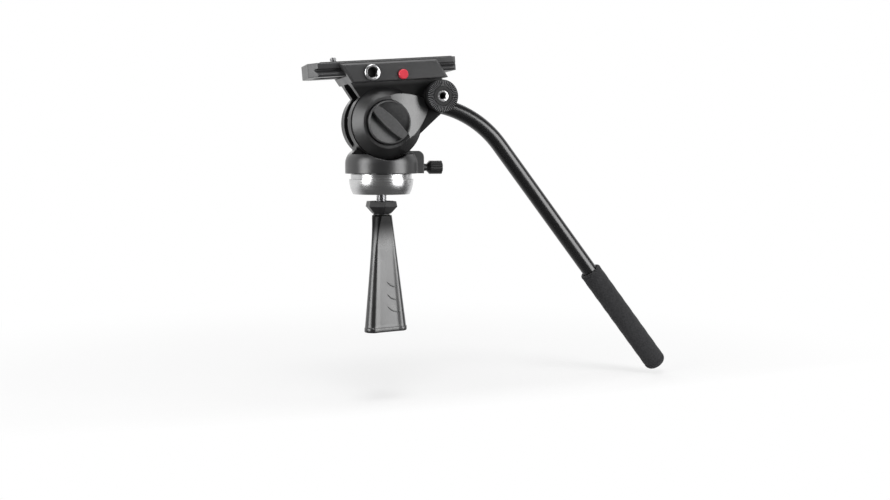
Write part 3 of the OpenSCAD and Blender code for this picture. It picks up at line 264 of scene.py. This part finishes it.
# Looks of single nodes and pieces
ownLooks = {
    "pebbled_plastic": {"dark": (0.03, 0.03, 0.031), "light": (0.05, 0.05, 0.051), "drift": 420,
                        "rough": (0.42, 0.55), "grain": 1100, "bump": 0.5, "depth": 0.0002, "specular": 0.8,
                        "edge": 0.0008},
    # dark_bore: dark metal painted on the walls of bores, as their shade
    "dark_bore": {"dark": (0.03, 0.03, 0.03), "light": (0.09, 0.09, 0.09), "drift": 300,
                  "rough": (0.35, 0.5), "grain": 1400, "bump": 0.2, "metal": 1, "edge": 0.0002},
    "turned_steel": {"dark": (0.3, 0.3, 0.305), "light": (0.42, 0.42, 0.425), "drift": 200,
                     "rough": (0.16, 0.26), "grain": 1400, "bump": 0.1, "metal": 1, "edge": 0.0002},
    "glossy_plastic": {"dark": (0.007, 0.007, 0.0073), "light": (0.012, 0.012, 0.0125), "drift": 20,
                       "rough": (0.4, 0.46), "grain": 3000, "bump": 0.2, "specular": 0.9, "edge": 0.001,
                       "polish": {"rise": (0.002, 0.018), "fall": (0.04, 0.024), "less": 0.2}},
    # moulded_plastic carries painted shade: darker and duller at the top of the handle
    "moulded_plastic": {"dark": (0.009, 0.009, 0.0094), "light": (0.015, 0.015, 0.0157), "drift": 20,
                        "rough": (0.26, 0.33), "grain": 3000, "bump": 0.25, "specular": 1, "edge": 0.0008,
                        "shade": {"between": (-0.04, -0.064), "tint": 0.4, "shine": 0.12}},
    "rosette_teeth": {"dark": (0.01, 0.01, 0.0105), "light": (0.017, 0.017, 0.018), "drift": 20,
                      "rough": (0.36, 0.44), "grain": 3000, "bump": 0.2, "specular": 0.45, "edge": 0.0001},
}
skins = {name: surface(name, look) for name, look in {**slotLooks, **ownLooks}.items()}

# Teeth of the rosettes: their crests carry a painted highlight and their roots painted shade, so that the
# teeth read on the dark ring
rosetteTeeth = {"count": 48, "inner": 0.0088, "outer": 0.0142, "crestFrom": 0.2,
                "root": (0.006, 0.006, 0.0065), "crest": (0.2, 0.2, 0.205)}


def paintToothLight(material):
    teeth = rosetteTeeth
    tree = material.node_tree
    shader = next(node for node in tree.nodes if node.type == "BSDF_PRINCIPLED")
    plain = shader.inputs["Base Color"].links[0].from_socket
    mapping = tree.nodes.new("ShaderNodeMapping")
    mapping.vector_type = "TEXTURE"
    centre = Vector((rosette["x"], 0, rosette["z"])) * millimetre
    mapping.inputs["Location"].default_value = tiltMatrix @ centre
    mapping.inputs["Rotation"].default_value = (0, -tilt["rest"], 0)
    tree.links.new(objectPlace(tree), mapping.inputs["Vector"])
    parts = split(tree, mapping.outputs["Vector"])
    angle = mathNode(tree, "ARCTAN2", parts["Z"], parts["X"])
    wave = mathNode(tree, "COSINE", times(tree, angle, teeth["count"]))
    # Painted highlight towards each crest, painted shade towards each root
    crestHighlight = ramped(tree, wave, teeth["crestFrom"], 1)
    flat = tree.nodes.new("ShaderNodeCombineXYZ")
    tree.links.new(parts["X"], flat.inputs["X"])
    tree.links.new(parts["Z"], flat.inputs["Z"])
    reach = vectorNode(tree, "LENGTH", flat.outputs["Vector"]).outputs["Value"]
    middle = (teeth["inner"] + teeth["outer"]) / 2
    ring = mathNode(tree, "COMPARE", reach, middle, teeth["outer"] - middle)
    mix = tree.nodes.new("ShaderNodeMix")
    mix.data_type = "RGBA"
    tree.links.new(ring, mix.inputs["Factor"])
    tree.links.new(plain, mix.inputs["A"])
    tree.links.new(blendTints(tree, crestHighlight, teeth["root"], teeth["crest"]), mix.inputs["B"])
    tree.links.new(mix.outputs["Result"], shader.inputs["Base Color"])


paintToothLight(skins["rosette_teeth"])

# Nodes that don't wear the look of their slot
nodeSkins = {"tilt_knob": "pebbled_plastic", "clamp_cup": "black_plastic", "near_rosette": "rosette_teeth",
             "far_rosette": "rosette_teeth", "near_cover": "glossy_plastic", "far_cover": "glossy_plastic"}

for entry in frame["record"]["subparts"]:
    mesh = nodes[entry["node"]].data
    mesh.materials.clear()
    mesh.materials.append(skins[nodeSkins.get(entry["node"], entry["material_slot"])])
print("finishes:", len(skins))


# Tools for the pieces that are turned, wound or drawn out in rings
def pieceFrom(shape, name, body, slot, skin=None):
    bmesh.ops.remove_doubles(shape, verts=shape.verts, dist=1e-7)
    bmesh.ops.recalc_face_normals(shape, faces=shape.faces)
    mesh = bpy.data.meshes.new(name)
    shape.to_mesh(mesh)
    shape.free()
    mesh.materials.append(skins[skin or slot])
    for face in mesh.polygons:
        face.use_smooth = True
    piece = bpy.data.objects.new(name, mesh)
    bpy.context.scene.collection.objects.link(piece)
    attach(piece, body)
    return piece


def profileLine(shape, points):
    line = [shape.verts.new((radius, 0, z)) for radius, z in points]
    return line + [shape.edges.new(pair) for pair in zip(line, line[1:])]


def turned(profile, steps):
    shape = bmesh.new()
    bmesh.ops.spin(shape, geom=profileLine(shape, profile), cent=(0, 0, 0), axis=up, angle=2 * pi,
                   steps=steps, use_merge=True)
    return shape


# Form of a wound ridge, as shares of its height, the pitch and a flank; its foot is sunk into the wall
threadForm = {"sink": 0.25, "flank": 0.42, "crestFrom": 0.85, "crestTo": 1.15, "steps": 28,
              "sharp": radians(35)}


def woundThread(shape, root, crest, pitch, low, high):
    form = threadForm
    turns = (high - low) / pitch - 1
    sunk = root + (root - crest) * form["sink"]
    flank = pitch * form["flank"]
    ridge = [(sunk, low), (crest, low + flank * form["crestFrom"]), (crest, low + flank * form["crestTo"]),
             (sunk, low + 2 * flank)]
    bmesh.ops.spin(shape, geom=profileLine(shape, ridge), cent=(0, 0, 0), axis=up, angle=2 * pi * turns,
                   dvec=up * (pitch / form["steps"]), steps=round(form["steps"] * turns))


def sharpEdges(piece, angle):
    piece.data.set_sharp_from_angle(angle=angle)


def inMetres(shape, place):
    bmesh.ops.scale(shape, vec=(millimetre,) * 3, verts=shape.verts)
    bmesh.ops.transform(shape, matrix=place, verts=shape.verts)


def levelPlace(x, y, z, turn=0, axis="X"):
    spot = Matrix.Translation(Vector((x, y, z)) * millimetre)
    return tiltMatrix @ spot @ Matrix.Rotation(radians(turn), 4, axis)


# Tie-down handle: three round lobes with flat faces between them that widen downwards, and a lip
handle = {"top": -33.6, "end": -142.6, "topRadius": 9.6, "topEdge": 0.5, "endRadius": 23.3, "lip": 4.5,
          "lipStep": 0.7, "lipAbove": ((0.9, 0.1), (0.3, 0.5), (0, 1.2)),
          "lipBelow": ((0, 1.2), (0.3, 0.35), (1, 0)), "turn": radians(222), "sector": 2 * pi / 3,
          "dip": 0.355, "roundTop": 0.25, "dipLength": 15, "lobe": 0.3, "fillet": 24, "faceReach": pi / 4,
          "nutRadius": 7.22, "nutDepth": 14, "boreRadius": 5.3, "boreEnd": -80, "sides": 120, "rings": 36,
          "sharp": radians(50)}


def lobedRadius(radius, angle, z):
    dip = handle["dip"] * (1 - (1 - handle["roundTop"]) * exp((z - handle["top"]) / handle["dipLength"]))
    fromFace = abs((angle - handle["turn"]) % handle["sector"] - handle["sector"] / 2)
    fromCrest = handle["sector"] / 2 - fromFace
    lobe = handle["lobe"]
    reach = 1 - lobe
    crest = reach * cos(fromCrest) + max(0, lobe ** 2 - (reach * sin(fromCrest)) ** 2) ** 0.5
    face = min(1, (1 - dip) / cos(min(fromFace, handle["faceReach"])))
    power = handle["fillet"]
    return radius * min(1, (crest ** power + face ** power) ** (1 / power))


def handleRadius(z):
    reach = handle["top"] - handle["end"] - handle["lip"]
    share = min(1, (handle["top"] - z) / reach)
    return handle["topRadius"] + (handle["endRadius"] - handle["lipStep"] - handle["topRadius"]) * share


def drawRing(shape, edges, radiusAt, z):
    grown = bmesh.ops.extrude_edge_only(shape, edges=edges)["geom"]
    for vert in [item for item in grown if isinstance(item, bmesh.types.BMVert)]:
        angle = Vector((vert.co.x, vert.co.y)).angle_signed(Vector((1, 0)))
        radius = radiusAt(angle)
        vert.co = (radius * cos(angle), radius * sin(angle), z)
    return [item for item in grown if isinstance(item, bmesh.types.BMEdge)]


def handleStations():
    top, end, edge = handle["top"], handle["end"], handle["topEdge"]
    wide, step = handle["endRadius"], handle["lipStep"]
    lipTop = end + handle["lip"]
    heights = [top + (lipTop - top) * (i + 1) / handle["rings"] for i in range(handle["rings"])]
    stations = [(handleRadius(top) - edge, top), (handleRadius(top), top - edge)]
    stations += [(handleRadius(z), z) for z in heights]
    stations += [(wide - step * inset, lipTop - step * drop) for inset, drop in handle["lipAbove"]]
    stations += [(wide - step * inset, end + step * rise) for inset, rise in handle["lipBelow"]]
    return stations


def tieDownHandle():
    bore, nut = handle["boreRadius"], handle["nutRadius"]
    nutFloor = handle["top"] - handle["nutDepth"]
    shape = bmesh.new()
    bmesh.ops.create_circle(shape, segments=handle["sides"], radius=bore, cap_ends=True)
    bmesh.ops.translate(shape, verts=shape.verts, vec=(0, 0, handle["boreEnd"]))
    edges = list(shape.edges)
    for radius, z in ((bore, nutFloor), (nut, nutFloor), (nut, handle["top"])):
        edges = drawRing(shape, edges, lambda angle: radius, z)
    for radius, z in handleStations():
        edges = drawRing(shape, edges, lambda angle: lobedRadius(radius, angle, z), z)
    bmesh.ops.contextual_create(shape, geom=edges)
    inMetres(shape, Matrix.Identity(4))
    piece = pieceFrom(shape, "tieDownHandle", "tie_down", "grey_plastic", "moulded_plastic")
    sharpEdges(piece, handle["sharp"])
    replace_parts(piece, "tie_down_handle")


# Raised thumb ridges, curved like shallow bowls, on each flat face
thumbRidges = {"heights": (-101, -113, -124.5), "faces": (radians(301), radians(61), radians(181)),
               "reach": radians(23), "rise": 6, "thick": 0.7, "sunk": 0.35, "taper": 0.75, "points": 25,
               "roundness": 3}


def thumbRidge(face, height, number):
    ridge = thumbRidges
    line = bpy.data.curves.new("thumbLine", "CURVE")
    line.dimensions = "3D"
    line.bevel_depth = ridge["thick"] * millimetre
    line.bevel_resolution = ridge["roundness"]
    line.use_fill_caps = True
    spline = line.splines.new("POLY")
    spline.points.add(ridge["points"] - 1)
    for i, point in enumerate(spline.points):
        along = 2 * i / (ridge["points"] - 1) - 1
        angle = face + along * ridge["reach"]
        z = height + ridge["rise"] * ((1 - along) / 2) ** 2
        radius = lobedRadius(handleRadius(z), angle, z) - ridge["thick"] * ridge["sunk"]
        point.co = (radius * cos(angle) * millimetre, radius * sin(angle) * millimetre, z * millimetre, 1)
        point.radius = 1 - ridge["taper"] * abs(along) ** 3
    holder = bpy.data.objects.new("thumbLine", line)
    bpy.context.scene.collection.objects.link(holder)
    drawn = holder.evaluated_get(bpy.context.evaluated_depsgraph_get())
    mesh = bpy.data.meshes.new_from_object(drawn)
    bpy.data.objects.remove(holder)
    shape = bmesh.new()
    shape.from_mesh(mesh)
    bpy.data.meshes.remove(mesh)
    pieceFrom(shape, "thumbRidge" + str(number), "tie_down", "grey_plastic", "moulded_plastic")


tieDownHandle()
number = 0
for face in thumbRidges["faces"]:
    for height in thumbRidges["heights"]:
        number += 1
        thumbRidge(face, height, number)
print("handle drawn with", number, "thumb ridges")

# Pan bar: it leaves the rosette on a slope and bends once, and its grip lies along the straight end
bar = {"y": 46, "slope": 16.4, "lead": 24, "bendRadius": 106, "bend": 40}


def barPlace():
    start = levelPlace(rosette["x"], bar["y"], rosette["z"], bar["slope"], "Y")
    bend = radians(bar["bend"])
    ahead = bar["lead"] + bar["bendRadius"] * sin(bend)
    drop = bar["bendRadius"] * (1 - cos(bend))
    bendEnd = Matrix.Translation(Vector((ahead, 0, -drop)) * millimetre)
    return start @ bendEnd @ Matrix.Rotation(radians(90 + bar["bend"]), 4, "Y")


# Foam grip: a soft sleeve with a rounded end, a little uneven as moulded foam is
grip = {"start": 168, "length": 134, "radius": 11.6, "edge": 1.6, "edgeTurns": (0, 0.5, 1, pi / 2),
        "round": 6.5, "roundRings": 8, "ripple": 0.12, "rippleTurn": 1.3, "rings": 39, "bore": 8.2,
        "skin": 3, "steps": 72}


def foamGrip():
    low = grip["start"]
    high = low + grip["length"]
    radius, edge, bore, end = grip["radius"], grip["edge"], grip["bore"], grip["round"]
    floor = high - grip["skin"]
    straight = grip["length"] - edge - end
    profile = [(0, floor), (bore, floor), (bore, low)]
    for turn in grip["edgeTurns"]:
        profile.append((radius - edge + edge * sin(turn), low + edge - edge * cos(turn)))
    for i in range(1, grip["rings"] + 1):
        ripple = grip["ripple"] * (1 + sin(i * grip["rippleTurn"]))
        profile.append((radius - ripple, low + edge + straight * i / grip["rings"]))
    for i in range(grip["roundRings"] + 1):
        turn = i / grip["roundRings"] * pi / 2
        profile.append((radius - end + end * cos(turn), high - end + end * sin(turn)))
    profile.append((0, high))
    shape = turned(profile, grip["steps"])
    inMetres(shape, barPlace())
    piece = pieceFrom(shape, "foamGrip", "pan_bar", "foam")
    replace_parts(piece, "foam_grip")


foamGrip()
print("foam grip turned")

# Camera screw: a head with a round socket below, a neck and a thread that stands above the plate
cameraScrew = {"x": -40, "plateLow": 44.2, "headLow": 1.6, "headTop": 5.4, "headRadius": 8, "headEdge": 0.5,
               "socketRadius": 3.2, "socketDepth": 1.6, "neck": 2.8, "neckEdge": 0.3, "threadLow": 12.5,
               "threadTop": 17.6, "runIn": 0.5, "runOut": 0.6, "tip": 0.7, "tipEdge": 0.2, "root": 2.5,
               "crest": 3.175, "pitch": 1.27, "steps": 64}


def threadedCameraScrew():
    screw = cameraScrew
    low, top, wide, edge = screw["headLow"], screw["headTop"], screw["headRadius"], screw["headEdge"]
    socketTop = low + screw["socketDepth"]
    root, tip = screw["root"], screw["threadTop"] + screw["tip"]
    profile = [(0, socketTop), (screw["socketRadius"], socketTop), (screw["socketRadius"], low)]
    profile += [(wide - edge, low), (wide, low + edge), (wide, top - edge), (wide - edge, top)]
    profile += [(screw["neck"], top), (screw["neck"], screw["threadLow"] - screw["neckEdge"])]
    profile += [(root, screw["threadLow"]), (root, tip - screw["tipEdge"])]
    profile += [(root - screw["tipEdge"], tip), (0, tip)]
    shape = turned(profile, screw["steps"])
    woundThread(shape, root, screw["crest"], screw["pitch"], screw["threadLow"] - screw["runIn"],
                screw["threadTop"] + screw["runOut"])
    inMetres(shape, levelPlace(screw["x"], 0, screw["plateLow"]))
    piece = pieceFrom(shape, "threadedCameraScrew", "screw", "chrome", "turned_steel")
    sharpEdges(piece, threadForm["sharp"])
    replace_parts(piece, "camera_screw")


# Tie stud: threaded up to a plain shank in the half ball
tieStud = {"end": -72, "endEdge": 0.8, "threadTop": -14.2, "shoulder": 0.4, "top": 4.6, "runIn": 0.3,
           "runOut": 0.6, "root": 4.2, "crest": 5, "pitch": 1.5, "steps": 48}


def threadedStud():
    stud = tieStud
    end, top, root, crest = stud["end"], stud["threadTop"], stud["root"], stud["crest"]
    profile = [(0, end), (root - stud["endEdge"], end), (root, end + stud["endEdge"]), (root, top)]
    profile += [(crest, top + stud["shoulder"]), (crest, stud["top"]), (0, stud["top"])]
    shape = turned(profile, stud["steps"])
    woundThread(shape, root, crest, stud["pitch"], end + stud["runIn"], top + stud["runOut"])
    inMetres(shape, Matrix.Identity(4))
    piece = pieceFrom(shape, "threadedStud", "bowl_mount", "steel")
    sharpEdges(piece, threadForm["sharp"])
    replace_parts(piece, "tie_stud")


# Inserts: a shank, a flange with a rounded rim, and a bore with a thread whose wall is painted dark as
# shade
accessoryThread = {"x": -11.8, "y": -24.6, "z": 45.2, "shank": 6.2, "flange": 7.2, "flangeLow": 5.4,
                   "length": 8, "heel": ((0.15, 0), (0, 0.2)), "rim": ((0, 0.9), (0.25, 0.35), (0.8, 0)),
                   "mouth": 0.7,
                   "wall": 4.7, "ridge": 4.05, "pitch": 1.5875, "runIn": 0.2, "runOut": 1.1, "steps": 72}
rosetteThread = {"low": 20, "shank": 4.4, "flange": 5.4, "flangeLow": 10, "length": 13.6,
                 "heel": ((0, 0),), "rim": ((0, 0.7), (0.2, 0.25), (0.7, 0)), "mouth": 0.9,
                 "wall": 3, "ridge": 2.5, "pitch": 1, "runIn": 0.2, "runOut": 0.8, "steps": 64}
boreMargin = 0.05


# Faces of a turned piece that lie inside a radius are painted dark, as the shade inside a bore
def paintBoreShade(piece, place, radius):
    back = place.inverted()
    piece.data.materials.append(skins["dark_bore"])
    for face in piece.data.polygons:
        spot = back @ face.center
        if Vector((spot.x, spot.y)).length < radius * millimetre:
            face.material_index = 1


def insertPiece(name, sizes, place, threaded):
    wall, shank, flange = sizes["wall"], sizes["shank"], sizes["flange"]
    low, length, mouth = sizes["flangeLow"], sizes["length"], sizes["mouth"]
    profile = [(wall, 0), (shank, 0), (shank, low)]
    profile += [(flange - inset, low + rise) for inset, rise in sizes["heel"]]
    profile += [(flange - inset, length - drop) for inset, drop in sizes["rim"]]
    profile += [(wall + mouth, length), (wall, length - mouth), (wall, 0)]
    shape = turned(profile, sizes["steps"])
    if threaded:
        woundThread(shape, wall, sizes["ridge"], sizes["pitch"], sizes["runIn"], length - sizes["runOut"])
    inMetres(shape, place)
    piece = pieceFrom(shape, name, "tilt", "chrome")
    paintBoreShade(piece, place, wall + boreMargin)
    sharpEdges(piece, threadForm["sharp"])
    return piece


def accessoryInsert():
    place = levelPlace(accessoryThread["x"], accessoryThread["y"], accessoryThread["z"], 90)
    piece = insertPiece("accessoryInsert", accessoryThread, place, True)
    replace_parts(piece, "accessory_insert")


def rosetteInsert(name, side, threaded):
    place = levelPlace(rosette["x"], side * rosetteThread["low"], rosette["z"], -90 * side)
    return insertPiece(name, rosetteThread, place, threaded)


threadedCameraScrew()
threadedStud()
accessoryInsert()
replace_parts(rosetteInsert("nearRosetteInsert", -1, True), "rosette_inserts")
rosetteInsert("farRosetteInsert", 1, False)
print("threads wound")

# Springs of the twist pin and the safety button: each is a copy of its node's mesh, hung on its body in the
# node's place
springs = {"pinSpring": {"node": "pin_spring", "body": "plate", "joint": "twist_pin_press", "press": 1.5,
                         "axis": tiltUp},
           "buttonSpring": {"node": "button_spring", "body": "tilt", "joint": "safety_press", "press": 2.2,
                            "axis": Vector((0, -1, 0))}}


def pressedSpring(name, node, body, joint, press, axis):
    piece = bpy.data.objects.new(name, nodes[node].data.copy())
    bpy.context.scene.collection.objects.link(piece)
    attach(piece, body)
    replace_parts(piece, node)
    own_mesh(piece)


for name, spring in springs.items():
    pressedSpring(name, **spring)
print("springs:", len(springs))

# Pale floor that fades into a white backdrop; near the object it is half plain paint and takes the shadow
studio = {"floorGap": 0.004, "floorSize": 8, "frontEdge": 0.14, "frontFade": (0.3, -0.95),
          "floorTint": (0.84, 0.84, 0.84), "floorDrift": 0.02, "patchScale": 3, "patchDetail": 2,
          "floorRough": 0.8, "floorSpecular": 0.1, "shadowReach": 0.1, "whiteFrom": 0.75, "haze": 0.5,
          "roomLight": 0.12, "sweepFrom": -0.05, "sweepTo": 0.45}


# The camera sees a white backdrop all round; mirrors see it behind the object, and the dim room before it
def seenWhite(tree, place):
    behind = ramped(tree, split(tree, place)["Y"], studio["sweepFrom"], studio["sweepTo"])
    path = tree.nodes.new("ShaderNodeLightPath")
    mirrored = added(tree, path.outputs["Is Glossy Ray"], path.outputs["Is Transmission Ray"])
    return added(tree, path.outputs["Is Camera Ray"], times(tree, mirrored, behind))


def glow(tree, strength):
    emission = tree.nodes.new("ShaderNodeEmission")
    emission.inputs["Color"].default_value = white
    emission.inputs["Strength"].default_value = strength
    return emission.outputs["Emission"]


def mixed(tree, share, first, second):
    mix = tree.nodes.new("ShaderNodeMixShader")
    tree.links.new(share, mix.inputs["Fac"])
    tree.links.new(first, mix.inputs[1])
    tree.links.new(second, mix.inputs[2])
    return mix.outputs["Shader"]


def floorPaint():
    material, tree, shader = nodeMaterial("floorPaint")
    patches = objectNoise(tree, studio["patchScale"], studio["patchDetail"])
    tint = studio["floorTint"]
    paler = [part + studio["floorDrift"] for part in tint]
    tree.links.new(blendTints(tree, patches, tint, paler), shader.inputs["Base Color"])
    shader.inputs["Roughness"].default_value = studio["floorRough"]
    shader.inputs["Specular IOR Level"].default_value = studio["floorSpecular"]
    place = objectPlace(tree)
    depth = split(tree, place)["Y"]
    path = tree.nodes.new("ShaderNodeLightPath")
    near = ramped(tree, depth, studio["sweepTo"], studio["sweepFrom"])
    dimmed = times(tree, path.outputs["Is Glossy Ray"], near)
    paint = mixed(tree, dimmed, shader.outputs["BSDF"], glow(tree, studio["roomLight"]))
    distance = vectorNode(tree, "LENGTH", place).outputs["Value"]
    far = ramped(tree, distance, studio["shadowReach"], studio["whiteFrom"], studio["haze"])
    front = ramped(tree, depth, *[studio["frontEdge"] * share for share in studio["frontFade"]])
    whitened = times(tree, seenWhite(tree, place), added(tree, far, front))
    finish = mixed(tree, whitened, paint, glow(tree, 1))
    tree.links.new(finish, tree.nodes["Material Output"].inputs["Surface"])
    return material


def studioFloor():
    shape = bmesh.new()
    bmesh.ops.create_grid(shape, x_segments=2, y_segments=2, size=studio["floorSize"])
    ahead = studio["floorSize"] - studio["frontEdge"]
    bmesh.ops.translate(shape, verts=shape.verts, vec=(0, ahead, cadBox[0][2] - studio["floorGap"]))
    mesh = bpy.data.meshes.new("studioFloor")
    shape.to_mesh(mesh)
    shape.free()
    floor = bpy.data.objects.new("studioFloor", mesh)
    bpy.context.scene.collection.objects.link(floor)
    mesh.materials.append(floorPaint())


def studioWorld():
    world = bpy.data.worlds.new("studioWorld")
    world.use_nodes = True
    tree = world.node_tree
    room = tree.nodes["Background"]
    room.inputs["Color"].default_value = white
    room.inputs["Strength"].default_value = studio["roomLight"]
    backdrop = tree.nodes.new("ShaderNodeBackground")
    backdrop.inputs["Color"].default_value = white
    backdrop.inputs["Strength"].default_value = 1
    place = tree.nodes.new("ShaderNodeTexCoord").outputs["Generated"]
    sky = mixed(tree, seenWhite(tree, place), room.outputs["Background"], backdrop.outputs["Background"])
    tree.links.new(sky, tree.nodes["World Output"].inputs["Surface"])
    bpy.context.scene.world = world


# Softboxes: place, aim, size across and up, power
softboxes = {
    "leftBox": ((-1.11, -0.42, 0.2), (0, 0, 0), (0.6, 1.0), 11.5),
    "rightBox": ((0.92, -0.82, 0.12), (0, 0, 0), (0.8, 1.0), 14),
    "topBox": ((0.05, -0.1, 1.2), (0, 0, 0.05), (0.9, 0.6), 4),
    "keyBox": ((-0.1, -0.6, 1.2), (0, 0, 0.05), (0.5, 0.3), 6),
    "rearBox": ((0.2, 1.1, 0.7), (0, 0, 0.05), (1.2, 0.7), 6),
}


def placeSoftboxes():
    for name, (place, aim, size, power) in softboxes.items():
        lamp = bpy.data.lights.new(name, "AREA")
        lamp.shape = "RECTANGLE"
        lamp.size, lamp.size_y = size
        lamp.energy = power
        box = bpy.data.objects.new(name, lamp)
        box.location = place
        box.rotation_euler = (Vector(aim) - Vector(place)).to_track_quat("-Z", "Y").to_euler()
        bpy.context.scene.collection.objects.link(box)


photoCamera = {"place": (-0.2274, -0.9121, 0.021), "yaw": 0.3078, "pitch": -0.0933, "lens": 40.45,
               "sensor": 36, "nearest": 0.01}


def placeCamera():
    lens = bpy.data.cameras.new("photoCamera")
    lens.sensor_fit = "HORIZONTAL"
    lens.sensor_width = photoCamera["sensor"]
    lens.lens = photoCamera["lens"]
    lens.clip_start = photoCamera["nearest"]
    yaw, pitch = photoCamera["yaw"], photoCamera["pitch"]
    ahead = Vector((sin(yaw) * cos(pitch), cos(yaw) * cos(pitch), sin(pitch)))
    camera = bpy.data.objects.new("photoCamera", lens)
    camera.location = photoCamera["place"]
    camera.rotation_euler = ahead.to_track_quat("-Z", "Y").to_euler()
    bpy.context.scene.collection.objects.link(camera)
    bpy.context.scene.camera = camera


studioFloor()
studioWorld()
placeSoftboxes()
placeCamera()
bpy.context.scene.view_settings.view_transform = "Standard"
print("studio ready")
